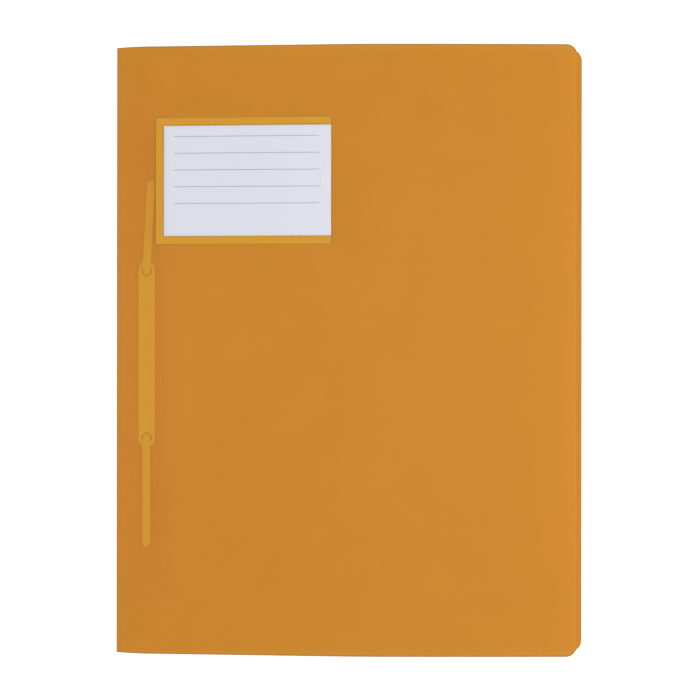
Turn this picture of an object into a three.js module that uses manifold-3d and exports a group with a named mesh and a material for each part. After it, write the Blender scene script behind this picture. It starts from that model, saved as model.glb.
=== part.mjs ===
// A4 fastener folder, closed and empty: one creased polypropylene sheet makes the back cover, a narrow spine
// and the front cover, which springs up in a low arch. A plastic fastener with two folded tines and a loose
// compressor bar sits inside on the back cover, and a clear label pocket is welded on the front cover.
// Millimetres. +X runs from the spine to the free edge, +Y to the top of the page and +Z up from the table.
// The origin is under the middle of the folder, on the table.

import * as THREE from "three";
import { mergeVertices } from "three/addons/utils/BufferGeometryUtils.js";
import Module from "manifold-3d";

const degree = Math.PI / 180;

// Creased sheet
const folderHeight = 310; // along the spine
const sheetThickness = 0.5;
const backWidth = 239; // from the spine's outer face to the free edge
const frontLength = 235.6; // along the arched sheet, from the upper crease to the free edge
const spineWidth = 3.4; // from crease to crease
const creaseGap = 0.1; // bare stretch of a crease beyond the sheet's own thickness
const creaseStart = 0.3; // where the front panel's full thickness begins, past the upper crease
const cornerRadius = 5.6; // free corners of both covers

// Arch of the front cover, as slopes above level and lengths along the sheet
const creaseSlope = 26; // degrees, at the upper crease
const pocketSlope = 4.1; // degrees, on the straight stretch under the label pocket
const crestSlope = 0;
const edgeSlope = -0.6; // degrees, at the free edge
const springLength = 18; // bends from the crease slope to the pocket slope
const straightLength = 94;
const crestLength = 30; // bends from the pocket slope to level
const degreesPerFacet = 1.3;

// Fastener, on the back cover
const fastenerX = 15.1; // from the spine's outer face
const fastenerY = -2.2; // from the middle of the folder's height
const baseWidth = 7.4; // with round ends
const baseThickness = 0.6;
const neckRadius = 1.9; // round side of a D-shaped neck, towards the other neck
const neckBack = 0.3; // from a neck's centre to its flat side, within 6 mm filing holes at 80 mm
const rootSpacing = 85.4; // from neck to neck, as from hinge to hinge and from hole to hole
const baseEnd = 3.9; // from a neck's centre to the end of the base
const barWidth = 8.5; // with round ends
const barThickness = 0.8;
const barHoleClearance = 0.4; // round a neck
const barEnd = 5.15; // from a hole's centre to the end of the bar
const barPlay = 0.5; // how far the bar can rise under the folded tines
const barClearance = 0.1; // left over the risen bar
const tineThickness = 0.7;
const tineWidth = 4;
const tineRootWidth = 3.6;
const tineShoulder = 3; // over which a tine widens from its root
const rootGap = 0.3; // between a neck's top and the tine's round root
const upperTineLength = 46.6;
const lowerTineLength = 56;
const upperTineTilt = 3; // degrees towards the free edge

// Label pocket, on the front cover's straight stretch
const pocketStart = 21.3; // along the sheet from the upper crease
const pocketTop = 36.7; // below the folder's top edge
const pocketHeight = 64.2;
const weldWidth = 3.9;
const filmThickness = 0.2;
const filmCornerRadius = 1;
const filmSeat = 0.05; // gap under the weld, on the sloping cover
const cardLength = 85.6;
const cardHeight = 56.6;
const cardThickness = 0.25;
const cardClearance = 0.2; // around the card's edges, in the pocket
const cardPlay = 0.1; // above and below the card, in the pocket
const notchRadius = 8.5;
const notchDepth = 4.8;

const wasm = await Module();
wasm.setup();

function solidOf(geometry) {
  const bare = geometry.index ? geometry.toNonIndexed() : geometry.clone();
  bare.deleteAttribute("normal");
  bare.deleteAttribute("uv");
  const merged = mergeVertices(bare, 1e-4);
  const vertProperties = new Float32Array(merged.attributes.position.array);
  const triVerts = new Uint32Array(merged.index.array);
  return new wasm.Manifold(new wasm.Mesh({ numProp: 3, vertProperties, triVerts }));
}

function geometryOf(solid) {
  const { vertProperties, triVerts } = solid.getMesh();
  const geometry = new THREE.BufferGeometry();
  geometry.setAttribute("position", new THREE.BufferAttribute(vertProperties, 3));
  geometry.setIndex(new THREE.BufferAttribute(triVerts, 1));
  geometry.computeVertexNormals();
  return geometry;
}

function cut(geometry, ...tools) {
  return geometryOf(tools.reduce((left, tool) => left.subtract(solidOf(tool)), solidOf(geometry)));
}

function join(geometry, ...others) {
  return geometryOf(others.reduce((sum, other) => sum.add(solidOf(other)), solidOf(geometry)));
}

// A plate of the given outline, lying flat with its underside at z = 0.
function plate(outline, thickness, curveSegments = 12) {
  return new THREE.ExtrudeGeometry(outline, { depth: thickness, bevelEnabled: false, curveSegments });
}

// A strip whose section is drawn in X and Z, carried along Y and centred on it.
function strip(section, length) {
  const geometry = new THREE.ExtrudeGeometry(section, { depth: length, bevelEnabled: false });
  return geometry.translate(0, 0, -length / 2).rotateX(Math.PI / 2);
}

// A rectangle from the origin corner, with a radius for each corner in turn from the lower left.
function rectangle(width, height, radii = [0, 0, 0, 0]) {
  const [lowLeft, lowRight, highRight, highLeft] = radii;
  const outline = new THREE.Shape();
  outline.moveTo(lowLeft, 0);
  outline.lineTo(width - lowRight, 0);
  if (lowRight) outline.absarc(width - lowRight, lowRight, lowRight, -Math.PI / 2, 0);
  outline.lineTo(width, height - highRight);
  if (highRight) outline.absarc(width - highRight, height - highRight, highRight, 0, Math.PI / 2);
  outline.lineTo(highLeft, height);
  if (highLeft) outline.absarc(highLeft, height - highLeft, highLeft, Math.PI / 2, Math.PI);
  outline.lineTo(0, lowLeft);
  if (lowLeft) outline.absarc(lowLeft, lowLeft, lowLeft, Math.PI, 1.5 * Math.PI);
  return outline;
}

// A bar with round ends, standing along Y and centred on the origin.
function roundEnded(width, length) {
  const radius = width / 2;
  const reach = length / 2 - radius;
  const outline = new THREE.Shape();
  outline.moveTo(radius, -reach);
  outline.lineTo(radius, reach);
  outline.absarc(0, reach, radius, 0, Math.PI);
  outline.lineTo(-radius, -reach);
  outline.absarc(0, -reach, radius, Math.PI, 2 * Math.PI);
  return outline;
}

// The arch as four stretches, each bending evenly from one slope to the next.
const archStretches = [
  { length: springLength, from: creaseSlope, to: pocketSlope },
  { length: straightLength, from: pocketSlope, to: pocketSlope },
  { length: crestLength, from: pocketSlope, to: crestSlope },
  { length: frontLength - springLength - straightLength - crestLength, from: crestSlope, to: edgeSlope },
];

// The point on the front cover's outer face at a distance along the sheet from the upper crease, and the slope
// there. Along a bend, the slope grows evenly, so x and z are the differences of its sine and cosine.
function archPoint(distance) {
  let x = 0;
  let z = spineWidth;
  let slope = creaseSlope * degree;
  let left = distance;
  for (const { length, from, to } of archStretches) {
    if (left <= 0) break;
    const run = Math.min(left, length);
    const start = from * degree;
    const bend = ((to - from) * degree) / length;
    slope = start + bend * run;
    x += bend ? (Math.sin(slope) - Math.sin(start)) / bend : run * Math.cos(start);
    z += bend ? (Math.cos(start) - Math.cos(slope)) / bend : run * Math.sin(start);
    left -= run;
  }
  return { x, z, slope };
}

// Distances along the sheet at which the arch has a facet's edge.
function archStations() {
  const stations = [creaseStart];
  let begun = 0;
  for (const { length, from, to } of archStretches) {
    const facets = Math.max(1, Math.ceil(Math.abs(to - from) / degreesPerFacet));
    for (let i = 1; i <= facets; i++) stations.push(begun + (length * i) / facets);
    begun += length;
  }
  return stations;
}

function archSection() {
  const points = archStations().map(archPoint);
  const outline = new THREE.Shape();
  points.forEach(({ x, z }, i) => (i ? outline.lineTo(x, z) : outline.moveTo(x, z)));
  for (const { x, z, slope } of points.reverse()) {
    outline.lineTo(x + sheetThickness * Math.sin(slope), z - sheetThickness * Math.cos(slope));
  }
  outline.closePath();
  return outline;
}

// What a rounded corner leaves over: the square beside its arc, as a plate for cutting.
function cornerWaste(radius, thickness, spare) {
  const outline = new THREE.Shape();
  outline.moveTo(radius + spare, radius + spare);
  outline.lineTo(0, radius + spare);
  outline.lineTo(0, radius);
  outline.absarc(0, 0, radius, Math.PI / 2, 0, true);
  outline.lineTo(radius + spare, 0);
  outline.closePath();
  return plate(outline, thickness, 10);
}

const materials = {
  cover: new THREE.MeshStandardMaterial({ color: 0xcb8732, roughness: 0.45, metalness: 0 }),
  fastener: new THREE.MeshStandardMaterial({ color: 0xe6e9e2, roughness: 0.4, metalness: 0 }),
  film: new THREE.MeshStandardMaterial({ color: 0xd19a38, roughness: 0.2, metalness: 0 }),
  card: new THREE.MeshStandardMaterial({ color: 0xdddfea, roughness: 0.8, metalness: 0 }),
};

function addPiece(parent, name, geometry, material, place = [0, 0, 0]) {
  const mesh = new THREE.Mesh(geometry, material.clone());
  mesh.name = name;
  mesh.position.set(...place);
  parent.add(mesh);
  return mesh;
}

// Creased sheet: back cover, spine panel and front cover
function backCover() {
  const outline = rectangle(backWidth, folderHeight, [0, cornerRadius, cornerRadius, 0]);
  return plate(outline, sheetThickness).translate(0, -folderHeight / 2, 0);
}

function spinePanel() {
  const bareEnd = sheetThickness + creaseGap;
  const section = rectangle(sheetThickness, spineWidth - 2 * bareEnd);
  return strip(section, folderHeight).translate(0, 0, bareEnd);
}

function frontCover() {
  const free = archPoint(frontLength);
  const spare = 1;
  const tall = free.z + 2 * spare;
  const corner = cornerWaste(cornerRadius, tall, spare);
  const upper = corner.clone().translate(free.x - cornerRadius, folderHeight / 2 - cornerRadius, 0);
  const lower = corner.clone().rotateZ(-Math.PI / 2);
  lower.translate(free.x - cornerRadius, cornerRadius - folderHeight / 2, 0);
  return cut(strip(archSection(), folderHeight), upper, lower);
}

// Fastener: base strip with its necks, compressor bar and two tines
const barUnderside = sheetThickness + baseThickness;
const barTop = barUnderside + barThickness;
const tineUnderside = barTop + barPlay + barClearance;
const neckTop = tineUnderside - rootGap;
const tineHingeZ = tineUnderside + tineThickness / 2;

function fastenerBase() {
  const baseLength = rootSpacing + 2 * baseEnd;
  const section = new THREE.Shape();
  section.moveTo(neckRadius, 0);
  section.lineTo(neckRadius, neckBack);
  section.lineTo(-neckRadius, neckBack);
  section.lineTo(-neckRadius, 0);
  section.absarc(0, 0, neckRadius, Math.PI, 2 * Math.PI);
  const neck = plate(section, neckTop - sheetThickness);
  const upper = neck.clone().translate(0, rootSpacing / 2, 0);
  const lower = neck.clone().rotateZ(Math.PI).translate(0, -rootSpacing / 2, 0);
  return join(plate(roundEnded(baseWidth, baseLength), baseThickness), upper, lower);
}

function compressorBar() {
  const outline = roundEnded(barWidth, rootSpacing + 2 * barEnd);
  for (const side of [-1, 1]) {
    const hole = new THREE.Path();
    hole.absarc(0, (side * rootSpacing) / 2, neckRadius + barHoleClearance, 0, 2 * Math.PI, true);
    outline.holes.push(hole);
  }
  return plate(outline, barThickness, 16);
}

// A tine lies along +Y from its round root, whose centre line is the X axis that it folds about.
function tine(length) {
  const tipRadius = tineWidth / 2;
  const outline = new THREE.Shape();
  outline.moveTo(tineRootWidth / 2, 0);
  outline.lineTo(tineWidth / 2, tineShoulder);
  outline.lineTo(tineWidth / 2, length - tipRadius);
  outline.absarc(0, length - tipRadius, tipRadius, 0, Math.PI);
  outline.lineTo(-tineWidth / 2, tineShoulder);
  outline.lineTo(-tineRootWidth / 2, 0);
  outline.closePath();
  const strap = plate(outline, tineThickness, 10).translate(0, 0, -tineThickness / 2);
  const root = new THREE.CylinderGeometry(tineThickness / 2, tineThickness / 2, tineRootWidth, 16);
  return join(strap, root.rotateZ(Math.PI / 2));
}

// Label pocket: the film's weld runs round three sides, and its cavity is open to the cover and to the right.
const cavityHeight = cardThickness + 2 * cardPlay - filmSeat;
const cavityLength = cardLength + cardClearance;
const pocketLength = weldWidth + cavityLength;

function pocketFilm() {
  const cavityDepth = cardHeight + 2 * cardClearance;
  const weldSide = (pocketHeight - cavityDepth) / 2;
  const outline = rectangle(pocketLength, pocketHeight, [filmCornerRadius, 0, 0, filmCornerRadius]);
  const block = plate(outline, cavityHeight + filmThickness);
  const openEnd = 1;
  const cavity = plate(rectangle(cavityLength + openEnd, cavityDepth), cavityHeight + openEnd);
  cavity.translate(weldWidth, weldSide, -openEnd);
  const notch = new THREE.CylinderGeometry(notchRadius, notchRadius, pocketHeight, 48).rotateX(Math.PI / 2);
  notch.translate(pocketLength - notchDepth + notchRadius, pocketHeight / 2, 0);
  return cut(block, cavity, notch);
}

const folder = new THREE.Group();
const fromSpine = new THREE.Group();
fromSpine.position.x = -backWidth / 2;
folder.add(fromSpine);

addPiece(fromSpine, "back_cover", backCover(), materials.cover);
addPiece(fromSpine, "spine_panel", spinePanel(), materials.cover);
addPiece(fromSpine, "front_cover", frontCover(), materials.cover);

const fastener = new THREE.Group();
fastener.position.set(fastenerX, fastenerY, 0);
fromSpine.add(fastener);
addPiece(fastener, "fastener_base", fastenerBase(), materials.fastener, [0, 0, sheetThickness]);
addPiece(fastener, "compressor_bar", compressorBar(), materials.fastener, [0, 0, barUnderside]);
const upperTine = addPiece(fastener, "tine_upper", tine(upperTineLength), materials.fastener);
upperTine.position.set(0, rootSpacing / 2, tineHingeZ);
upperTine.rotation.z = -upperTineTilt * degree;
const lowerTine = addPiece(fastener, "tine_lower", tine(lowerTineLength), materials.fastener);
lowerTine.position.set(0, -rootSpacing / 2, tineHingeZ);
lowerTine.rotation.z = Math.PI;

const pocket = new THREE.Group();
const pocketCorner = archPoint(pocketStart);
pocket.position.set(pocketCorner.x, folderHeight / 2 - pocketTop - pocketHeight, pocketCorner.z);
pocket.rotation.y = -pocketCorner.slope;
fromSpine.add(pocket);
addPiece(pocket, "pocket_film", pocketFilm(), materials.film, [0, 0, filmSeat]);
const card = plate(rectangle(cardLength, cardHeight), cardThickness);
addPiece(pocket, "label_card", card, materials.card, [
  weldWidth + cardClearance,
  (pocketHeight - cardHeight) / 2,
  cardPlay,
]);

export default folder;
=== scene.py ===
import math

import bmesh
import bpy
import numpy as np
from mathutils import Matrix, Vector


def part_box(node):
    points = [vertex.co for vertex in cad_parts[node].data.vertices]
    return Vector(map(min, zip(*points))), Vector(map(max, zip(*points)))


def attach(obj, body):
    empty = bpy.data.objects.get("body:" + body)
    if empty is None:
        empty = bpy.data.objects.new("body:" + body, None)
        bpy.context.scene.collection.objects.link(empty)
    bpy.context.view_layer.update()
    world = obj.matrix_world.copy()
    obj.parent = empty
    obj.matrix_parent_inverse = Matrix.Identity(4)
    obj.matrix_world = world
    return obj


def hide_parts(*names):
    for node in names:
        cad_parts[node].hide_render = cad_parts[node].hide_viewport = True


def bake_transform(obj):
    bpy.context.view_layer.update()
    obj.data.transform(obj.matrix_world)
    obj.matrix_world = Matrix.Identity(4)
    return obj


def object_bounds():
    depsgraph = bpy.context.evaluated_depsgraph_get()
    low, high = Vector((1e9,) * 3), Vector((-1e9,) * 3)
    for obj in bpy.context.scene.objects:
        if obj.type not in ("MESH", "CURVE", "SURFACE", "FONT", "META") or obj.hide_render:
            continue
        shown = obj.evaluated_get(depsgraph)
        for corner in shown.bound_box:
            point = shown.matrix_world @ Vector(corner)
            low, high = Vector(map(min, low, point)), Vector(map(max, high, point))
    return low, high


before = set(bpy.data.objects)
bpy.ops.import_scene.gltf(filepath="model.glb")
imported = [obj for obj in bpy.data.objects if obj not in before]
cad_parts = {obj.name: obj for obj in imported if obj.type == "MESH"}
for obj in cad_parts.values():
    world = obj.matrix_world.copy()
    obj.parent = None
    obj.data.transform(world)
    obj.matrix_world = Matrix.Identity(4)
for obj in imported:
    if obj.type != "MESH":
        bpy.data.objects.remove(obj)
cadLow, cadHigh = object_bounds()
mm = 0.001
degree = math.pi / 180


# Camera and light
cameraPlace = {
    "x": 0.19 * mm,
    "y": 0.14 * mm,
    "height": 820 * mm,
    "turn": 0.001,  # radians about the upright axis
    "lens": 81.8,  # in millimetres, as the sensor's width
    "sensorWidth": 36,
}
studio = {
    "fill": 0.30,  # what the room gives from all round
    "lamps": {  # watts, size and place: a near lamp past the free edge and a low one past the spine
        "key": (9.0, (0.6, 1.8), (0.5, 0.0, 0.8)),
        "side": (10.5, (0.5, 2.0), (-1.2, 0.0, 0.45)),
    },
    "floorColour": (0.45, 0.45, 0.46),
    "floorRoughness": 0.9,
    "floorSpecular": 0.1,
    "floorLift": 0.75,  # keeps the floor white to the eye, though not through the covers
    "farLift": 0.13,  # more of it where the lamps don't reach, so that floor and room meet unseen
    "farReach": (1.0, 0.5),  # soft edge, from the folder's middle
    "floorSize": 8.0,
    "floorDrop": 0.05 * mm,  # below the back cover, so that the two don't flicker
}


def makeCamera():
    data = bpy.data.cameras.new("camera")
    data.lens, data.sensor_width = cameraPlace["lens"], cameraPlace["sensorWidth"]
    camera = bpy.data.objects.new("camera", data)
    camera.location = (cameraPlace["x"], cameraPlace["y"], cameraPlace["height"])
    camera.rotation_euler = (0, 0, cameraPlace["turn"])
    bpy.context.scene.collection.objects.link(camera)
    bpy.context.scene.camera = camera


# Shader kit: arithmetic on wires adds Math nodes, and any other node comes from Finish.node
white = (1.0, 1.0, 1.0, 1.0)
noiseRange = (0.3, 0.7)  # nearly all of a noise lies between these


def opaque(colour):
    return (*colour, 1.0)


class Wire:
    def __init__(self, finish, socket):
        self.finish, self.socket = finish, socket

    def __add__(self, other):
        return self.finish.maths("ADD", self, other)

    def __sub__(self, other):
        return self.finish.maths("SUBTRACT", self, other)

    def __rsub__(self, other):
        return self.finish.maths("SUBTRACT", other, self)

    def __mul__(self, other):
        return self.finish.maths("MULTIPLY", self, other)

    def root(self):
        return self.finish.maths("SQRT", self)

    def absolute(self):
        return self.finish.maths("ABSOLUTE", self)

    __radd__ = __add__
    __rmul__ = __mul__


class Finish:
    def __init__(self, owner):  # a material or the world
        owner.use_nodes = True
        self.owner, self.tree = owner, owner.node_tree
        self.tree.nodes.clear()

    def node(self, kind, settings=None, values=None, output=0):
        made = self.tree.nodes.new(kind)
        for key, value in (settings or {}).items():
            setattr(made, key, value)
        for key, value in (values or {}).items():
            if isinstance(value, Wire):
                self.tree.links.new(value.socket, made.inputs[key])
            else:
                made.inputs[key].default_value = value
        return Wire(self, made.outputs[output])

    def maths(self, operation, first, second=0):
        return self.node("ShaderNodeMath", {"operation": operation}, {0: first, 1: second})

    def place(self):
        return self.node("ShaderNodeTexCoord", output="Object")

    def axes(self, where):
        where = {"Vector": where}
        return [self.node("ShaderNodeSeparateXYZ", {}, where, output=axis) for axis in "XYZ"]

    def noise(self, scale, detail, rough=0.5, stretch=(1, 1, 1)):  # scale in waves per metre
        where = self.node("ShaderNodeMapping", {}, {"Vector": self.place(), "Scale": stretch})
        values = {"Vector": where, "Scale": scale, "Detail": detail, "Roughness": rough}
        return self.node("ShaderNodeTexNoise", {}, values)

    def mark(self, name):  # a value that the mesh carries at its points
        return self.node("ShaderNodeAttribute", {"attribute_name": name}, output="Fac")

    def spread(self, value, low, high, fromLow=0.0, fromHigh=1.0):
        ends = {"From Min": fromLow, "From Max": fromHigh, "To Min": low, "To Max": high}
        return self.node("ShaderNodeMapRange", {"clamp": True}, {"Value": value, **ends})

    def above(self, value, edge, soft):  # from 0 to 1 as the value passes the edge
        settings = {"clamp": True, "interpolation_type": "SMOOTHSTEP"}
        ends = {"Value": value, "From Min": edge - soft, "From Max": edge + soft}
        return self.node("ShaderNodeMapRange", settings, ends)

    def below(self, value, edge, soft):
        return 1 - self.above(value, edge, soft)

    def blendColour(self, share, first, second):  # the colours are inputs 6 and 7 and output 2
        values = {"Factor": share, 6: first, 7: second}
        return self.node("ShaderNodeMix", {"data_type": "RGBA"}, values, output=2)

    def shaded(self, colour, brightness):
        return self.node("ShaderNodeHueSaturation", {}, {"Color": colour, "Value": brightness})

    def clouds(self, look):  # brightness that wanders a little about 1
        swing = look["cloudSwing"]
        return self.spread(self.noise(*look["cloud"]), 1 - swing, 1 + swing, *noiseRange)

    def bump(self, height, depth, over=None):
        values = {"Height": height, "Distance": depth, "Strength": 1.0}
        if over:
            values["Normal"] = over
        return self.node("ShaderNodeBump", {}, values)

    def surface(self, colour, roughness, specular, normal=None):
        values = {"Base Color": colour, "Roughness": roughness, "Specular IOR Level": specular}
        if normal:
            values["Normal"] = normal
        return self.node("ShaderNodeBsdfPrincipled", {}, values)

    def passing(self, tint):  # what lets light and sight straight through
        return self.node("ShaderNodeBsdfTransparent", {}, {"Color": opaque(tint)})

    def mixed(self, share, first, second):
        return self.node("ShaderNodeMixShader", {}, {0: share, 1: first, 2: second})

    def show(self, surface, end="ShaderNodeOutputMaterial"):
        output = self.tree.nodes.new(end)
        self.tree.links.new(surface.socket, output.inputs["Surface"])
        return self.owner


def newFinish(name, colour):
    material = bpy.data.materials.new(name)
    material.diffuse_color = opaque(colour)
    return Finish(material)


# Finishes: a noise is given by scale, detail and roughness, and a soft edge by place and softness
sheetLook = {
    "solidShare": 0.64,  # of each face; the rest lets light and sight through
    "colour": (0.730, 0.308, 0.0305),
    "paintedRimShade": (0.50, 0.185, 0.014),  # painted edge shade, at the cut rims and along the creases
    "closeShare": 0.36,  # a frosted sheet is clearer over what lies close behind, here the fastener
    "closeColour": (0.850, 0.378, 0.060),
    "closeAcross": (15 * mm, 11 * mm),  # soft edge, from the fastener's middle
    "closeAlong": (120 * mm, 16 * mm),
    "closeAbove": (3 * mm, 0.5 * mm),  # soft edge between the two covers
    "paintedEdgeLight": 0.27,  # painted light: how much brighter the back cover is painted where it shows past the front one
    "paintedLightWidth": 4.6 * mm,
    "paintedLightSoft": 1.2 * mm,
    "paintedLightBelow": (1.2 * mm, 0.3 * mm),  # soft edge over the back cover
    "tint": (1.0, 0.93, 0.50),  # what one face passes
    "roughness": (0.50, 0.62),
    "patches": (2600 / 6, 2.0),  # where the roughness differs, six grains across
    "specular": 0.2,
    "grain": (2600.0, 2.0, 0.6),  # embossed
    "grainDepth": 0.0012 * mm,
    "cloud": (45.0, 3.0),
    "cloudSwing": 0.012,
}


def coverFinish():
    look = sheetLook
    finish = newFinish("translucentSheet", look["colour"])
    across, up, high = finish.axes(finish.place())
    aside = (across - fastener["hingeX"]).absolute()
    beyond = (up - fastener["middleY"]).absolute()
    close = finish.below(aside, *look["closeAcross"]) * finish.below(beyond, *look["closeAlong"])
    close = close * finish.above(high, *look["closeAbove"])
    # Painted light on the back cover past the front cover's free edge, where the front cover shades
    # it
    edge = finish.above(across, backHigh.x - look["paintedLightWidth"], look["paintedLightSoft"])
    edge = edge * finish.below(high, *look["paintedLightBelow"])
    body = finish.blendColour(close, opaque(look["colour"]), opaque(look["closeColour"]))
    # Painted shade: the darker colour along the cut rims and the creases, by the rim mark
    body = finish.blendColour(finish.mark("rim"), body, opaque(look["paintedRimShade"]))
    body = finish.shaded(body, finish.clouds(look) * (1 + look["paintedEdgeLight"] * edge))
    roughness = finish.spread(finish.noise(*look["patches"]), *look["roughness"], *noiseRange)
    normal = finish.bump(finish.noise(*look["grain"]), look["grainDepth"])
    solid = finish.surface(body, roughness, look["specular"], normal)
    share = finish.spread(close, look["solidShare"], look["closeShare"])
    return finish.show(finish.mixed(share, finish.passing(look["tint"]), solid))


fastenerLook = {
    "colour": (0.735, 0.80, 0.755),
    "roughness": (0.33, 0.42),
    "specular": 0.5,
    "grain": (1500.0, 2.0, 0.6),
    "grainDepth": 0.003 * mm,
    "cloud": (120.0, 3.0),
    "cloudSwing": 0.02,
    "paintedGapShade": (0.22, 0.12, 0.05),  # painted shade, in the gap round a neck and on the bar's rounded rim there
    "gapInner": (1.98 * mm, 0.06 * mm),  # soft edges, from the neck's middle
    "gapOuter": (2.62 * mm, 0.14 * mm),
    "gapTop": (1.95 * mm, 0.03 * mm),  # above the back cover's underside
}


def fastenerFinish():
    look = fastenerLook
    finish = newFinish("mouldedPlastic", look["colour"])
    # Painted shade: a ring round the nearer neck, by the distance from its centre
    across, up, high = finish.axes(finish.place())
    aside = across - fastener["hingeX"]
    beyond = (up - fastener["middleY"]).absolute() - fastener["rootSpacing"] / 2
    distance = (aside * aside + beyond * beyond).root()
    ring = finish.above(distance, *look["gapInner"]) * finish.below(distance, *look["gapOuter"])
    ring = ring * finish.below(high, *look["gapTop"])
    body = finish.shaded(opaque(look["colour"]), finish.clouds(look))
    body = finish.blendColour(ring, body, opaque(look["paintedGapShade"]))
    grain = finish.noise(*look["grain"])
    roughness = finish.spread(grain, *look["roughness"], *noiseRange)
    normal = finish.bump(grain, look["grainDepth"])
    return finish.show(finish.surface(body, roughness, look["specular"], normal))


filmLook = {
    "windowShare": 0.014,  # of the window that is solid; the rest is clear
    "windowColour": (0.74, 0.76, 0.84),
    "windowTint": (0.994, 0.993, 0.999),  # what one face of the window passes
    "weldShare": 0.96,
    "fadeShare": 0.2,  # the weld keeps its colour down to this much of it, where it fades out
    "weldColour": (0.655, 0.324, 0.029),
    "glossRoughness": 0.07,
    "roughness": 0.16,
    "weldRoughness": 0.25,  # added on the weld
    "specular": 0.12,
    "wave": (70.0, 1.0),
    "waveStretch": (1.0, 0.5, 1.0),
    "waveDepth": 0.02 * mm,
    "pressed": (1400.0, 2.0),  # grain of the weld
    "pressedDepth": 0.006 * mm,
    "headOn": 0.002,  # share of light that the window's faces mirror
    "grazing": 0.10,
}


def filmFinish():
    look = filmLook
    finish = newFinish("clearFilm", look["windowColour"])
    weld = finish.mark("weld")
    tinted = finish.spread(weld, 0.0, 1.0, 0.0, look["fadeShare"])
    body = finish.blendColour(tinted, opaque(look["windowColour"]), opaque(look["weldColour"]))
    wave = finish.noise(*look["wave"], stretch=look["waveStretch"])
    normal = finish.bump(wave, look["waveDepth"])
    normal = finish.bump(finish.noise(*look["pressed"]) * weld, look["pressedDepth"], over=normal)
    roughness = look["roughness"] + look["weldRoughness"] * weld
    solid = finish.surface(body, roughness, look["specular"], normal)
    gloss = {"Color": white, "Roughness": look["glossRoughness"], "Normal": normal}
    mirror = finish.node("ShaderNodeBsdfAnisotropic", {}, gloss)
    # Gloss from head on to grazing, alike on both faces: the fifth power of 1 less the cosine,
    # which is what Facing gives at a blend of 0.5
    seen = {"Blend": 0.5, "Normal": normal}
    facing = finish.node("ShaderNodeLayerWeight", {}, seen, output="Facing")
    squared = facing * facing
    edgeOn = look["headOn"] + (look["grazing"] - look["headOn"]) * (squared * squared * facing)
    clear = finish.mixed(edgeOn, finish.passing(look["windowTint"]), mirror)
    share = finish.spread(weld, look["windowShare"], look["weldShare"])
    return finish.show(finish.mixed(share, clear, solid))


cardLook = {
    "colour": (0.737, 0.753, 0.808),
    "ink": (0.42, 0.43, 0.50),
    "roughness": 0.82,
    "fibre": (900.0, 4.0, 0.65),
    "fibreShade": (0.98, 1.02),
    "fibreDepth": 0.004 * mm,
    "specular": 0.2,
    "rules": 5,
    "firstRule": 5.65 * mm,  # below the card's top edge
    "rulePitch": 8.54 * mm,
    "ruleWidth": 0.42 * mm,
    "ruleSoft": 0.08 * mm,
    "ruleFromLeft": 5.2 * mm,
    "ruleFromRight": 6.05 * mm,
}


def cardFinish(cardLength, cardHeight):
    look = cardLook
    finish = newFinish("whiteCard", look["colour"])
    along, up, _ = finish.axes(finish.node("ShaderNodeUVMap", {"uv_map": "place"}))
    half, soft = look["ruleWidth"] / 2, look["ruleSoft"]
    # Distance from the nearest rule: the height below the first one, folded by the pitch
    under = (cardHeight / 2 - look["firstRule"]) - up
    nearest = finish.maths("PINGPONG", under, look["rulePitch"] / 2)
    last = (look["rules"] - 1) * look["rulePitch"]
    printed = finish.below(nearest, half, soft)
    printed = printed * finish.above(under, -half - soft, soft)
    printed = printed * finish.below(under, last + half + soft, soft)
    printed = printed * finish.above(along, look["ruleFromLeft"], soft)
    printed = printed * finish.below(along, cardLength - look["ruleFromRight"], soft)
    fibre = finish.noise(*look["fibre"])
    paper = finish.shaded(opaque(look["colour"]), finish.spread(fibre, *look["fibreShade"]))
    body = finish.blendColour(printed, paper, opaque(look["ink"]))
    normal = finish.bump(fibre, look["fibreDepth"])
    return finish.show(finish.surface(body, look["roughness"], look["specular"], normal))


# Meshes
def smooth(t):  # from 0 to 1 with level ends, 3t^2 - 2t^3
    t = np.clip(t, 0, 1)
    return t * t * (3 - 2 * t)


def gridQuads(rows, columns, wrap=False):  # faces between the points of a grid, numbered row by row
    spans = columns if wrap else columns - 1
    row, column = np.meshgrid(np.arange(rows - 1), np.arange(spans), indexing="ij")
    nextColumn = (column + 1) % columns
    corners = [row * columns + column, row * columns + nextColumn]
    corners += [(row + 1) * columns + nextColumn, (row + 1) * columns + column]
    return np.stack([c.ravel() for c in corners], axis=1)


def endCaps(rows, columns):  # the two faces that close a tube of such a grid
    return [np.arange(columns)[::-1], (rows - 1) * columns + np.arange(columns)]


def signedVolume(points, quads, caps):  # six times the volume, as tetrahedra from the origin
    a, b, c, d = (points[quads[:, k]] for k in range(4))
    total = np.einsum("ij,ij->", a, np.cross(b, c)) + np.einsum("ij,ij->", a, np.cross(c, d))
    for cap in caps:
        ring = points[cap]
        apex = np.broadcast_to(ring[0], ring[1:-1].shape)
        total += np.einsum("ij,ij->", apex, np.cross(ring[1:-1], ring[2:]))
    return total


def makePiece(name, points, quads, caps, material, place=None, marks=None, closed=True):
    if closed and signedVolume(points, quads, caps) < 0:  # its faces look inwards
        quads, caps = quads[:, ::-1], [cap[::-1] for cap in caps]
    mesh = bpy.data.meshes.new(name)
    mesh.from_pydata(points.tolist(), [], quads.tolist() + [cap.tolist() for cap in caps])
    mesh.polygons.foreach_set("use_smooth", np.ones(len(mesh.polygons), bool))
    if place is not None:
        corner = np.empty(len(mesh.loops), np.int32)
        mesh.loops.foreach_get("vertex_index", corner)
        layer = mesh.uv_layers.new(name="place")
        layer.data.foreach_set("uv", place[corner].astype(np.float32).ravel())
    for mark, value in (marks or {}).items():
        values = mesh.attributes.new(mark, "FLOAT", "POINT").data
        values.foreach_set("value", value.astype(np.float32))
    piece = bpy.data.objects.new(name, mesh)
    piece.data.materials.append(material)
    bpy.context.scene.collection.objects.link(piece)
    return piece


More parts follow.
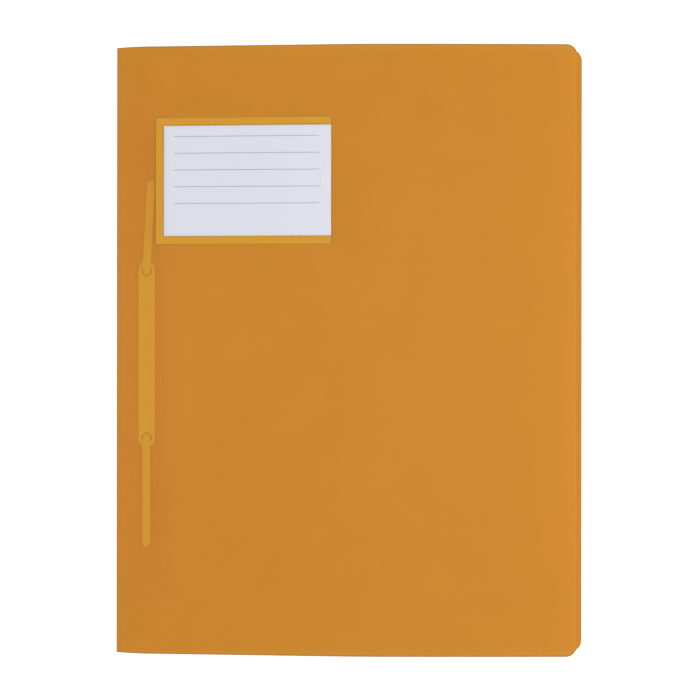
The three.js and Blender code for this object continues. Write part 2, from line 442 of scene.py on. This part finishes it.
section = {
    "cornerSteps": 4,
    "hold": 0.9955,  # a column near each end keeps the faces' shading flat and ends the rim's mark
    "ofThickness": 0.46,  # the corners' rounding is at most this share of the thickness
    "ofHalfWidth": 0.5,  # and this share of the half width
}


# The section of a strip as a loop: across runs over the flat faces, side and turn give the rounded
# corners, and isFar picks the far face
def sectionLoop(columns):
    flat = np.linspace(-1, 1, columns)
    flat = np.concatenate([[-1, -section["hold"]], flat[1:-1], [section["hold"], 1]])
    angle = np.linspace(0, math.pi / 2, section["cornerSteps"] + 1)[1:]
    out, dip = np.sin(angle), 1 - np.cos(angle)
    ends = np.ones_like(angle)
    across = np.concatenate([flat, ends, ends, flat[::-1], -ends, -ends])
    side = np.concatenate([0 * flat, out, out[::-1], 0 * flat, -out, -out[::-1]])
    turn = np.concatenate([0 * flat, dip, dip[::-1], 0 * flat, dip, dip[::-1]])
    isFar = np.concatenate([0 * flat, 0 * ends, ends, 1 + 0 * flat, ends, 0 * ends]) > 0.5
    return across, side, turn, isFar


# A closed strip carried along a path. Each station has a point, a direction across and one inwards;
# its section is a thin rectangle from -halfWidth to halfWidth across and from near to far inwards,
# with rounded corners. The rim carries a mark, 1 for the painted shade of a cut edge. The flat
# faces have deep, a share of that painted shade, which rises to 1 from rimFrom to the last station.
def loft(
    name, path, along, halfWidth, near, far, rounding, material, columns=9, rimFrom=None, deep=0
):
    origin, acrossWay, inWay = path
    across, side, turn, isFar = sectionLoop(columns)
    radius = np.minimum(rounding, section["ofThickness"] * (far - near))
    radius = np.minimum(radius, section["ofHalfWidth"] * halfWidth)[:, None]
    y = across * (halfWidth[:, None] - radius) + side * radius
    depth = np.where(isFar, far[:, None] - turn * radius, near[:, None] + turn * radius)
    points = origin[:, None] + acrossWay[:, None] * y[..., None] + inWay[:, None] * depth[..., None]
    place = np.stack([np.broadcast_to(along[:, None], y.shape), y], axis=-1).reshape(-1, 2)
    rim = np.broadcast_to(np.where(np.abs(across) == 1, 1.0, deep), y.shape)
    if rimFrom is not None:
        rim = np.maximum(rim, smooth((along - rimFrom) / (along[-1] - rimFrom))[:, None])
    quads, caps = gridQuads(*y.shape, wrap=True), endCaps(*y.shape)
    marks = {"rim": rim.ravel()}
    return makePiece(name, points.reshape(-1, 3), quads, caps, material, place, marks)


def flatPath(x, z, inX, inZ):  # stations in the X-Z plane, with Y across
    zero = np.zeros_like(x)
    origin = np.stack([x, zero, z], axis=1)
    acrossWay = np.stack([zero, zero + 1, zero], axis=1)
    return origin, acrossWay, np.stack([inX, zero, inZ], axis=1)


def straightPath(origin, acrossWay, inWay):  # both directions stay the same
    return origin, np.tile(acrossWay, (len(origin), 1)), np.tile(inWay, (len(origin), 1))


def roundedEnd(along, end, radius):  # how far a quarter circle before the end has dropped
    reach = np.clip(along - (end - radius), 0, radius)
    return radius - np.sqrt(radius**2 - reach**2)


def roundedEnds(along, length, radius):
    return np.maximum(roundedEnd(along, length, radius), roundedEnd(length - along, length, radius))


def quarterSteps(end, radius, count):  # stations spaced evenly by angle round that quarter circle
    return end - radius + radius * np.sin(np.linspace(0, math.pi / 2, count + 1))


def merged(*runs):  # the stations of several runs in one row, in order
    return np.unique(np.concatenate(runs))


def stripStations(length, radius, spans, roundSteps):  # for a strip that is rounded at both ends
    first = length - quarterSteps(length, radius, roundSteps)
    return merged(first, np.linspace(radius, length - radius, spans), length - first)


# Creased sheet: back cover, spine panel, front cover and the two thin creases
sheet = {
    "thickness": 0.5 * mm,
    "creaseThickness": 0.25 * mm,
    "chamfer": 0.6 * mm,  # over which a panel thins to its crease
    "bareEnd": 0.6 * mm,  # from the spine's corners to the spine panel and the back cover
    "creaseStart": 0.3 * mm,  # from the spine's upper corner to the front cover
    "creaseBend": 0.35 * mm,  # outer radius at a crease
    "paintedCreaseShade": 0.6,  # painted shade along a crease: how far its colour goes to that of a cut rim
    "cornerRadius": 5.6 * mm,
    "rimRadius": 0.12 * mm,
    "rimShadeWidth": 0.5 * mm,  # of the painted shade line along a cut edge
    "gap": 0.01 * mm,  # between a panel and its crease
    "archStretches": (  # the length of each in mm, and its slope at its start and end in degrees
        (18, 26.0, 4.1),
        (94, 4.1, 4.1),
        (30, 4.1, 0.0),
        (93.6, 0.0, -0.6),
    ),
}
sheetSteps = {  # how many stations each stretch gets
    "chamfer": 7,
    "back": 24,
    "front": 60,
    "bend": 30,
    "spine": 17,
    "crease": 25,
    "corner": 18,
    "rim": 4,
    "rimLine": 5,
}
chamferSpan = (0, 1.2)  # from a crease, in chamfers
bendSpan = (1, 20)  # from the upper crease, in mm: where the arch bends most
backLow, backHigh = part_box("back_cover")
spineLow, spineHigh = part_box("spine_panel")
halfHeight = backHigh.y
spineFace = backLow.x
upperCreaseZ = spineHigh.z + sheet["bareEnd"]


# The slope changes evenly over a stretch, so x and z grow by differences of its sine and cosine
def archAt(along):
    x = np.full_like(along, spineFace)
    z = np.full_like(along, upperCreaseZ)
    left = along.copy()
    slope = np.full_like(along, sheet["archStretches"][0][1] * degree)
    for length, start, end in sheet["archStretches"]:
        run = np.clip(left, 0, length * mm)
        bend = (end - start) * degree / (length * mm)
        begun = start * degree
        if bend:
            x += (np.sin(begun + bend * run) - np.sin(begun)) / bend
            z += (np.cos(begun) - np.cos(begun + bend * run)) / bend
        else:
            x += run * math.cos(begun)
            z += run * math.sin(begun)
        slope += bend * run
        left -= run
    return x, z, slope


def thinnedFrom(along, start):  # a panel's thickness, thinning to the crease at its start
    share = smooth((along - start) / sheet["chamfer"])
    return sheet["creaseThickness"] + (sheet["thickness"] - sheet["creaseThickness"]) * share


def panelStations(start, end, spans):  # fine at the crease and round the free corners
    crease = start + sheet["chamfer"] * np.linspace(*chamferSpan, sheetSteps["chamfer"])
    middle = np.linspace(crease[-1], end - sheet["cornerRadius"], spans)[1:-1]
    corner = quarterSteps(end, sheet["cornerRadius"], sheetSteps["corner"])
    rim = quarterSteps(end, sheet["rimRadius"], sheetSteps["rim"])
    rimLine = np.linspace(end - sheet["rimShadeWidth"], rim[0], sheetSteps["rimLine"])[:-1]
    return merged(crease, middle, corner[corner < rim[0]], rimLine, rim)


def coverOutline(along, end):  # half height, and the drop of both faces at the free edge
    half = halfHeight - roundedEnd(along, end, sheet["cornerRadius"])
    return half, roundedEnd(along, end, sheet["rimRadius"])


# Flat on the table, thinned to its crease, with two rounded corners and a rounded rim at its end
def backCover(material):
    start, end = sheet["bareEnd"] + sheet["gap"], backHigh.x - backLow.x
    along = panelStations(start, end, sheetSteps["back"])
    half, drop = coverOutline(along, end)
    zero = np.zeros_like(along)
    path = flatPath(spineFace + along, zero, zero, zero + 1)
    far = thinnedFrom(along, start) - drop
    rimFrom = end - sheet["rimShadeWidth"]
    rounding = sheet["rimRadius"]
    piece = loft("backCover", path, along, half, drop, far, rounding, material, rimFrom=rimFrom)
    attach(piece, "back")
    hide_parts("back_cover")
    return piece


# The same panel carried along the arch, with its thickness on the inside
def frontCover(material):
    start = sheet["creaseStart"] + sheet["gap"]
    end = sum(length for length, _, _ in sheet["archStretches"]) * mm
    bend = start + np.linspace(*bendSpan, sheetSteps["bend"]) * mm
    along = merged(panelStations(start, end, sheetSteps["front"]), bend)
    half, drop = coverOutline(along, end)
    x, z, slope = archAt(along)
    path = flatPath(x, z, np.sin(slope), -np.cos(slope))
    far = thinnedFrom(along, start) - drop
    rounding = sheet["rimRadius"]
    rimFrom = end - rounding
    piece = loft("frontCover", path, along, half, drop, far, rounding, material, rimFrom=rimFrom)
    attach(piece, "cover")
    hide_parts("front_cover")
    return piece


# Straight up between the two creases, thinned to both
def spinePanel(material):
    start, end = spineLow.z + sheet["gap"], spineHigh.z - sheet["gap"]
    along = np.linspace(start, end, sheetSteps["spine"])
    zero = np.zeros_like(along)
    path = flatPath(zero + spineFace, along, zero + 1, zero)
    half = zero + halfHeight
    far = np.minimum(thinnedFrom(along, start), thinnedFrom(start + end - along, start))
    piece = loft("spinePanel", path, along, half, zero, far, sheet["rimRadius"], material)
    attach(piece, "spine")
    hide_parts("spine_panel")
    return piece


# A crease's outer line: straight to its bend at the spine's corner, round an arc and straight on.
# With +X to the right and +Z up, the turn is clockwise and the folder's inside is on its right.
def creasePath(cornerZ, startAngle, turn, firstLeg, secondLeg):
    radius = sheet["creaseBend"]
    tangent = radius * math.tan(turn / 2)
    lengths = (firstLeg - tangent, radius * turn, secondLeg - tangent)
    along = np.linspace(0, sum(lengths), sheetSteps["crease"])
    bent = np.clip((along - lengths[0]) / radius, 0, turn)
    first = np.minimum(along, lengths[0])
    second = np.clip(along - lengths[0] - lengths[1], 0, None)
    c, s = math.cos(startAngle), math.sin(startAngle)
    angle = startAngle - bent
    ahead = first + radius * np.sin(bent) + second * np.cos(bent)
    right = radius * (1 - np.cos(bent)) + second * np.sin(bent)
    x = spineFace - firstLeg * c + ahead * c + right * s
    z = cornerZ - firstLeg * s + ahead * s - right * c
    return along, x, z, np.sin(angle), -np.cos(angle)


# A thin strip along that line
def crease(name, material, bodies, line):
    along, x, z, inX, inZ = line
    half = np.full_like(along, halfHeight)
    far = np.full_like(along, sheet["creaseThickness"])
    path = flatPath(x, z, inX, inZ)
    # The crease gets painted shade all over, a share of the cut rim's
    rounding, deep = sheet["rimRadius"] / 2, sheet["paintedCreaseShade"]
    piece = loft(name, path, along, half, 0 * along, far, rounding, material, deep=deep)
    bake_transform(piece)
    return piece


def creasedSheet():
    material = coverFinish()
    rise = sheet["archStretches"][0][1] * degree
    bare, square = sheet["bareEnd"], math.pi / 2
    lower = creasePath(0, math.pi, square, bare, bare)
    upper = creasePath(upperCreaseZ, square, square - rise, bare, sheet["creaseStart"])
    pieces = [
        backCover(material),
        spinePanel(material),
        frontCover(material),
        crease("lowerCrease", material, ("back", "spine"), lower),
        crease("upperCrease", material, ("spine", "cover"), upper),
    ]
    print("creased sheet:", len(pieces), "pieces")


# Fastener: base with its necks, compressor bar, two tines and their thin roots
fastener = {
    "hingeX": spineFace + 15.1 * mm,
    "middleY": -2.2 * mm,
    "rootSpacing": 85.4 * mm,
    "edge": 0.16 * mm,  # rounding of every rim
    "baseThickness": 0.6 * mm,
    "baseEndHalf": 0.05 * mm,  # half the base's width at its very ends
    "neckRadius": 1.9 * mm,
    "neckBack": 0.3 * mm,  # from its middle to its flat side
    "neckSunk": 0.1 * mm,  # into the base
    "holeClearance": 0.4 * mm,
    "seamBehind": 1.6,  # from a hole's centre to the bar's plain middle, in half widths of the bar
    "weldWithin": 0.002 * mm,  # where points that the bar's parts share become one
    "bevelSegments": 3,
    "bevelAngle": 50,  # degrees, from which an edge is softened
    "tineWidth": 4.0 * mm,
    "tineRootWidth": 3.6 * mm,
    "tineShoulder": 3.0 * mm,  # over which a tine widens
    "tineTilt": 3.0,  # degrees, upper tine only
    "tipHalf": 0.06 * mm,  # half the width at a tine's very tip
    "tipThick": 0.05 * mm,  # and half the thickness, also at its root
    "hingeThickness": 0.3 * mm,  # of a tine's thin root
    "hingeWidth": 3.2 * mm,
    "hingeInNeck": 0.05 * mm,  # how far it reaches into its neck
    "hingeInTine": 0.06 * mm,
}
fastenerSteps = {  # how many stations or points each stretch gets
    "strip": 12,
    "stripEnd": 12,
    "neckArc": 25,
    "neckFlat": 9,
    "neckRim": 6,
    "barRings": 4,
    "barRays": (40, 8, 16, 8),  # the half with the round end, a side, the seam and a side
    "barMiddle": 9,
    "tineRoot": 8,
    "tineShoulder": 7,
    "tine": 12,
    "tineTip": 16,
    "hinge": 9,
}
baseLow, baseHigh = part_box("fastener_base")
barLow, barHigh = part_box("compressor_bar")
upperLow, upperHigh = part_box("tine_upper")
rootY = {side: fastener["middleY"] + side * fastener["rootSpacing"] / 2 for side in (-1, 1)}
hingeZ = (upperLow.z + upperHigh.z) / 2


# Flat strip with half-round ends on the back cover, joined with a neck under each tine
def fastenerBase(material):
    radius = (baseHigh.x - baseLow.x) / 2
    length = baseHigh.y - baseLow.y
    along = stripStations(length, radius, fastenerSteps["strip"], fastenerSteps["stripEnd"])
    zero = np.zeros_like(along)
    half = np.maximum(radius - roundedEnds(along, length, radius), fastener["baseEndHalf"])
    far = zero + fastener["baseThickness"]
    top = sheet["thickness"] + fastener["baseThickness"]
    origin = np.stack([zero + fastener["hingeX"], baseLow.y + along, zero + top], axis=1)
    path = straightPath(origin, (1.0, 0, 0), (0, 0, -1.0))
    piece = loft("fastenerBase", path, along, half, zero, far, fastener["edge"], material)
    joinPieces(piece, [neck(side, top, material) for side in (-1, 1)])
    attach(piece, "back")
    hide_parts("fastener_base")
    return piece


# D-shaped neck: an outline at each level, drawn in towards the middle where the top rounds over
def neck(side, foot, material):
    radius, back, edge = fastener["neckRadius"], fastener["neckBack"], fastener["edge"]
    angle = np.linspace(0, math.pi, fastenerSteps["neckArc"])
    arc = np.stack([radius * np.cos(angle), -radius * np.sin(angle)], axis=1)
    flatX = np.linspace(-radius, radius, fastenerSteps["neckFlat"])
    flat = np.stack([flatX, np.full_like(flatX, back)], axis=1)
    outline = np.concatenate([arc, flat]) * (1, side)
    over = np.linspace(0, math.pi / 2, fastenerSteps["neckRim"])
    rounded = baseHigh.z - edge * (1 - np.sin(over))
    levels = np.concatenate([[foot - fastener["neckSunk"], foot], rounded])
    inset = np.concatenate([[0, 0], edge * (1 - np.cos(over))]) / radius
    middle = np.array([0, -side * radius / 3])
    flatPoints = middle + (outline - middle) * (1 - inset)[:, None, None]
    flatPoints = flatPoints + np.array([fastener["hingeX"], rootY[side]])
    rows, count = flatPoints.shape[:2]
    height = np.broadcast_to(levels[:, None, None], (rows, count, 1))
    points = np.concatenate([flatPoints, height], axis=2).reshape(-1, 3)
    quads, caps = gridQuads(rows, count, wrap=True), endCaps(rows, count)
    return makePiece("neck", points, quads, caps, material)


def joinPieces(main, others):
    bpy.ops.object.select_all(action="DESELECT")
    for piece in (main, *others):
        piece.select_set(True)
    bpy.context.view_layer.objects.active = main
    bpy.ops.object.join()


# Rings round a hole of the bar, from the hole's rim to the outline of the bar's end. Rays run out
# from its centre at 0, 0, and each ends where it first meets the round end, a side or the seam, the
# straight line where the plain middle begins.
def barEnd(radius, roundCentre, seam):
    toCorner = math.atan2(-seam, radius)  # from straight to a side, to where it meets the seam
    bounds = (0, math.pi, math.pi + toCorner, 2 * math.pi - toCorner, 2 * math.pi)
    spans = zip(bounds[:-1], bounds[1:], fastenerSteps["barRays"])
    angle = np.concatenate([np.linspace(start, end, count + 1)[:-1] for start, end, count in spans])
    c, s = np.cos(angle), np.sin(angle)
    tiny = 1e-9  # for a ray that runs beside a line and never meets it
    inside = (roundCentre * s) ** 2 + radius**2 - roundCentre**2
    toArc = roundCentre * s + np.sqrt(np.maximum(inside, 0))
    toSide = radius / np.maximum(np.abs(c), tiny)
    toSeam = np.where(s < 0, seam / np.minimum(s, -tiny), np.inf)
    reach = np.where(toArc * s >= roundCentre, toArc, np.minimum(toSide, toSeam))
    hole = fastener["neckRadius"] + fastener["holeClearance"]
    distance = hole + (reach - hole) * np.linspace(0, 1, fastenerSteps["barRings"])[:, None]
    return np.stack([distance * c, distance * s], axis=2)


# Both ends of the bar and a plain grid between their seams, drawn flat and thickened downwards
def compressorBar(material):
    radius = (barHigh.x - barLow.x) / 2
    seam = -fastener["seamBehind"] * radius
    rings = barEnd(radius, barHigh.y - rootY[1] - radius, seam)
    quads = gridQuads(*rings.shape[:2], wrap=True)
    upper, lower = (rings * (1, side) + (fastener["hingeX"], rootY[side]) for side in (1, -1))
    outline = rings[-1]
    seamX = np.sort(outline[np.isclose(outline[:, 1], seam), 0]) + fastener["hingeX"]
    middleY = np.linspace(rootY[-1] - seam, rootY[1] + seam, fastenerSteps["barMiddle"])
    middle = np.stack(np.meshgrid(seamX, middleY), axis=2)
    flat = np.concatenate([part.reshape(-1, 2) for part in (lower, upper, middle)])
    count = rings.shape[0] * rings.shape[1]
    middleQuads = gridQuads(len(middleY), len(seamX)) + 2 * count
    faces = np.concatenate([quads, quads[:, ::-1] + count, middleQuads])
    points = np.concatenate([flat, np.full((len(flat), 1), barHigh.z)], axis=1)
    piece = makePiece("compressorBar", points, faces, [], material, closed=False)
    weldDoubles(piece, fastener["weldWithin"])
    thicken(piece, barHigh.z - barLow.z, even=True)
    softenRims(piece, fastener["edge"])
    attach(piece, "bar")
    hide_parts("compressor_bar")
    return piece


def weldDoubles(piece, distance):
    work = bmesh.new()
    work.from_mesh(piece.data)
    bmesh.ops.remove_doubles(work, verts=work.verts, dist=distance)
    work.to_mesh(piece.data)
    work.free()


def thicken(piece, thickness, even):  # downwards from the face that is drawn
    wall = piece.modifiers.new("wall", "SOLIDIFY")
    wall.thickness, wall.offset, wall.use_even_offset = thickness, -1, even


def softenRims(piece, edge):
    rim = piece.modifiers.new("rim", "BEVEL")
    rim.width, rim.segments = edge, fastener["bevelSegments"]
    rim.limit_method, rim.angle_limit = "ANGLE", fastener["bevelAngle"] * degree


# Flat strip that is half round across its thickness at the root, widens over its shoulder and is
# half round across its width at the tip
def tine(name, material, body, node, side, tilt):
    low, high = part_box(node)
    tip, root = fastener["tineWidth"] / 2, (high.z - low.z) / 2
    shoulder = fastener["tineShoulder"]
    length = (high.y - rootY[1] if side > 0 else rootY[-1] - low.y) / math.cos(tilt)
    along = merged(
        -root * np.cos(np.linspace(0, math.pi / 2, fastenerSteps["tineRoot"])),
        np.linspace(0, shoulder, fastenerSteps["tineShoulder"]),
        np.linspace(shoulder, length - tip, fastenerSteps["tine"]),
        quarterSteps(length, tip, fastenerSteps["tineTip"]),
    )
    widened = (fastener["tineWidth"] - fastener["tineRootWidth"]) * smooth(along / shoulder)
    half = (fastener["tineRootWidth"] + widened) / 2 - roundedEnd(along, length, tip)
    half = np.maximum(half, fastener["tipHalf"])
    thick = np.sqrt(root**2 - np.clip(-along, 0, root) ** 2)
    thick = thick - roundedEnd(along, length, fastener["edge"])
    thick = np.maximum(thick, fastener["tipThick"])
    way = np.array([math.sin(tilt), side * math.cos(tilt), 0.0])
    origin = np.array([fastener["hingeX"], rootY[side], hingeZ]) + along[:, None] * way
    path = straightPath(origin, np.cross([0, 0, 1.0], way), (0, 0, -1.0))
    piece = loft(name, path, along, half, -thick, thick, fastener["edge"], material, columns=7)
    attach(piece, body)
    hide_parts(node)
    return piece


# The thin root that joins a tine to its neck, straight up between the two
def tineRoot(name, material, side):
    bottom = baseHigh.z - fastener["hingeInNeck"]
    top = upperLow.z + fastener["hingeInTine"]
    along = np.linspace(0, top - bottom, fastenerSteps["hinge"])
    zero = np.zeros_like(along)
    origin = np.stack([zero + fastener["hingeX"], zero + rootY[side], bottom + along], axis=1)
    path = straightPath(origin, (1.0, 0, 0), (0, 1.0, 0))
    half = zero + fastener["hingeWidth"] / 2
    thick = zero + fastener["hingeThickness"] / 2
    piece = loft(name, path, along, half, -thick, thick, fastener["edge"] / 3, material, columns=5)
    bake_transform(piece)
    return piece


def fastenerPieces():
    material = fastenerFinish()
    tilt = fastener["tineTilt"] * degree
    pieces = [
        fastenerBase(material),
        compressorBar(material),
        tine("upperTine", material, "upper_tine", "tine_upper", 1, tilt),
        tine("lowerTine", material, "lower_tine", "tine_lower", -1, 0.0),
        tineRoot("upperTineRoot", material, 1),
        tineRoot("lowerTineRoot", material, -1),
    ]
    print("fastener:", len(pieces), "pieces")


# Label pocket on the arch's straight stretch: a clear film, welded along three sides, and its card
pocket = {
    "start": 21.3 * mm,  # along the sheet from the upper crease
    "top": 36.7 * mm,  # below the folder's top edge
    "height": 64.2 * mm,
    "weld": 3.9 * mm,
    "seat": 0.05 * mm,  # the weld's height above the cover
    "film": 0.2 * mm,
    "raised": 0.4 * mm,  # the window's underside above the weld's
    "ramp": 0.7 * mm,
    "tintedTo": 4.0 * mm,  # from the film's edge, past the weld to the card
    "tintFade": 0.25 * mm,  # half before that and half past it
    "cornerRadius": 1.0 * mm,
    "notchRadius": 8.5 * mm,
    "notchDepth": 4.8 * mm,
    "endPlay": 0.2 * mm,  # from the card's end to the film's open edge
    "cardLength": 85.6 * mm,
    "cardHeight": 56.6 * mm,
    "cardThickness": 0.25 * mm,
    "cardCorner": 0.5 * mm,
    "cardEdge": 0.04 * mm,  # rounding of its rim
    "cardStart": 4.1 * mm,  # from the film's left edge
    "cardLift": 0.1 * mm,  # above the cover
}
pocketSteps = {  # how many rows or columns each stretch of the film gets, and the card's stations
    "corner": 7,
    "ramp": 13,
    "besideNotch": 6,
    "notch": 33,
    "window": 14,
    "leftEnd": 7,
    "rightEnd": 13,
    "card": 12,
    "cardCorner": 5,
}
filmSpans = {  # where those stretches begin and end
    "beforeRamp": 0.3 * mm,
    "pastTint": 0.1 * mm,
    "notchFromWeld": 2 * mm,
    "windowFromWeld": 4 * mm,
    "windowToEdge": 14 * mm,
}
rowDecimals = 9  # rows that are alike to this many are one
pocketLength = pocket["weld"] + pocket["cardLength"] + pocket["endPlay"]


def pocketPoint(along, y, lift):  # along the slope from the film's left edge, and up off the cover
    x, z, slope = archAt(np.array([pocket["start"]]))
    c, s = math.cos(slope[0]), math.sin(slope[0])
    return np.stack([x[0] + along * c - lift * s, y, z[0] + along * s + lift * c], axis=-1)


def rampStations():  # over the weld's inner ramp and on past the tint
    start, end = pocket["weld"] - pocket["ramp"], pocket["tintedTo"] + filmSpans["pastTint"]
    return np.linspace(start, end, pocketSteps["ramp"])


# Rows down from the film's top edge, closer together at the corners, the ramp and the notch, and
# the same again up from its bottom edge
def filmRows(notchHalf):
    height, ramp = pocket["height"], rampStations()
    quarter = np.linspace(0, math.pi / 2, pocketSteps["corner"])
    corners = pocket["cornerRadius"] * (1 - np.cos(quarter))
    besideFrom, besideTo = pocket["weld"] + filmSpans["notchFromWeld"], height / 2 - notchHalf
    beside = np.linspace(besideFrom, besideTo, pocketSteps["besideNotch"])[:-1]
    notch = notchHalf * np.sin(np.linspace(-math.pi / 2, math.pi / 2, pocketSteps["notch"]))
    runs = [corners, [ramp[0] - filmSpans["beforeRamp"]], ramp, beside, height / 2 + notch]
    down = np.concatenate(runs)
    return np.unique(np.round(np.concatenate([down, height - down]), rowDecimals))


# Each row runs from the film's left edge, which follows its rounded corners, to the open right one,
# which the arc of the thumb notch bites into
def filmGrid():
    height, radius, depth = pocket["height"], pocket["notchRadius"], pocket["notchDepth"]
    down = filmRows(math.sqrt(radius**2 - (radius - depth) ** 2))
    left = roundedEnds(down, height, pocket["cornerRadius"])[:, None]
    bite = np.sqrt(np.maximum(radius**2 - (down - height / 2) ** 2, 0))
    right = (pocketLength - np.maximum(depth - radius + bite, 0))[:, None]
    windowFrom = pocket["weld"] + filmSpans["windowFromWeld"]
    windowTo = pocketLength - filmSpans["windowToEdge"]
    window = np.linspace(windowFrom, windowTo, pocketSteps["window"])
    fixed = np.concatenate([rampStations(), window])
    first = left + (fixed[0] - left) * np.linspace(0, 1, pocketSteps["leftEnd"])[:-1]
    last = fixed[-1] + (right - fixed[-1]) * np.linspace(0, 1, pocketSteps["rightEnd"])[1:]
    between = np.broadcast_to(fixed, (len(down), len(fixed)))
    along = np.concatenate([first, between, last], axis=1)
    return along, np.broadcast_to(down[:, None], along.shape)


# Sheet that lies low along its weld and climbs a soft ramp to the raised window. The weld's mark
# ends past the ramp, where the card begins.
def pocketFilm(material):
    along, down = filmGrid()
    fromEdge = np.minimum(np.minimum(down, pocket["height"] - down), along)
    climbed = smooth((fromEdge - (pocket["weld"] - pocket["ramp"])) / pocket["ramp"])
    lift = pocket["seat"] + pocket["film"] + pocket["raised"] * climbed
    points = pocketPoint(along, halfHeight - pocket["top"] - down, lift).reshape(-1, 3)
    tinted = 1 - smooth((fromEdge - pocket["tintedTo"]) / pocket["tintFade"] + 0.5)
    marks = {"weld": tinted.ravel()}
    place = np.stack([along, down], axis=-1).reshape(-1, 2)
    quads = gridQuads(*along.shape)[:, ::-1]
    piece = makePiece("pocketFilm", points, quads, [], material, place, marks, closed=False)
    thicken(piece, pocket["film"], even=False)
    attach(piece, "cover")
    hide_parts("pocket_film")
    return piece


# Flat strip with small rounded corners, lying along the slope under the window
def labelCard(material):
    length, corner = pocket["cardLength"], pocket["cardCorner"]
    along = stripStations(length, corner, pocketSteps["card"], pocketSteps["cardCorner"])
    zero = np.zeros_like(along)
    half = pocket["cardHeight"] / 2 - roundedEnds(along, length, corner)
    far = zero + pocket["cardThickness"]
    middle = halfHeight - pocket["top"] - pocket["height"] / 2
    lift = pocket["cardLift"] + pocket["cardThickness"]
    origin = pocketPoint(pocket["cardStart"] + along, zero + middle, lift)
    slope = archAt(np.array([pocket["start"]]))[2][0]
    path = straightPath(origin, (0, 1.0, 0), (math.sin(slope), 0, -math.cos(slope)))
    piece = loft("labelCard", path, along, half, zero, far, pocket["cardEdge"], material)
    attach(piece, "card")
    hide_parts("label_card")
    return piece


def labelPocket():
    pocketFilm(filmFinish())
    labelCard(cardFinish(pocket["cardLength"], pocket["cardHeight"]))
    print("label pocket: film and card")


# Studio
def seenDirectly(finish):  # 1 for what the eye, a mirror or glass sees, and 0 for other rays
    names = ("Is Camera Ray", "Is Glossy Ray", "Is Transmission Ray")
    camera, glossy, through = (finish.node("ShaderNodeLightPath", output=name) for name in names)
    return finish.maths("MAXIMUM", camera, finish.maths("MAXIMUM", glossy, through))


def makeFloor():
    colour = studio["floorColour"]
    finish = newFinish("paleFloor", colour)
    body = finish.surface(opaque(colour), studio["floorRoughness"], studio["floorSpecular"])
    throughCovers = finish.node("ShaderNodeLightPath", output="Transparent Depth")
    bare = 1 - finish.maths("MINIMUM", throughCovers, 1)
    across, up, _ = finish.axes(finish.place())
    far = finish.above((across * across + up * up).root(), *studio["farReach"])
    strength = seenDirectly(finish) * bare * (studio["floorLift"] + studio["farLift"] * far)
    glow = finish.node("ShaderNodeEmission", {}, {"Color": white, "Strength": strength})
    both = finish.node("ShaderNodeAddShader", {}, {0: body, 1: glow})
    corners = np.array([[-1, -1, 0], [1, -1, 0], [1, 1, 0], [-1, 1, 0]]) * studio["floorSize"] / 2
    corners[:, 2] = cadLow.z - studio["floorDrop"]
    face = np.array([[0, 1, 2, 3]])
    floor = makePiece("floor", corners, face, [], finish.show(both), closed=False)


def makeWorld():
    world = bpy.data.worlds.new("room")
    bpy.context.scene.world = world
    room = Finish(world)
    strength = studio["fill"] + (1 - studio["fill"]) * seenDirectly(room)
    light = room.node("ShaderNodeBackground", {}, {"Color": white, "Strength": strength})
    room.show(light, end="ShaderNodeOutputWorld")


def makeLamp(name, power, size, place):
    data = bpy.data.lights.new(name, "AREA")
    data.energy, data.shape = power, "RECTANGLE"
    data.size, data.size_y = size
    lamp = bpy.data.objects.new(name, data)
    lamp.location = place
    lamp.rotation_euler = (-lamp.location).to_track_quat("-Z", "Y").to_euler()
    lamp.visible_camera = False
    bpy.context.scene.collection.objects.link(lamp)


makeCamera()
makeWorld()
for lampName, setting in studio["lamps"].items():
    makeLamp(lampName, *setting)
makeFloor()
bpy.context.scene.view_settings.view_transform = "Standard"
print("studio ready")
creasedSheet()
fastenerPieces()
labelPocket()
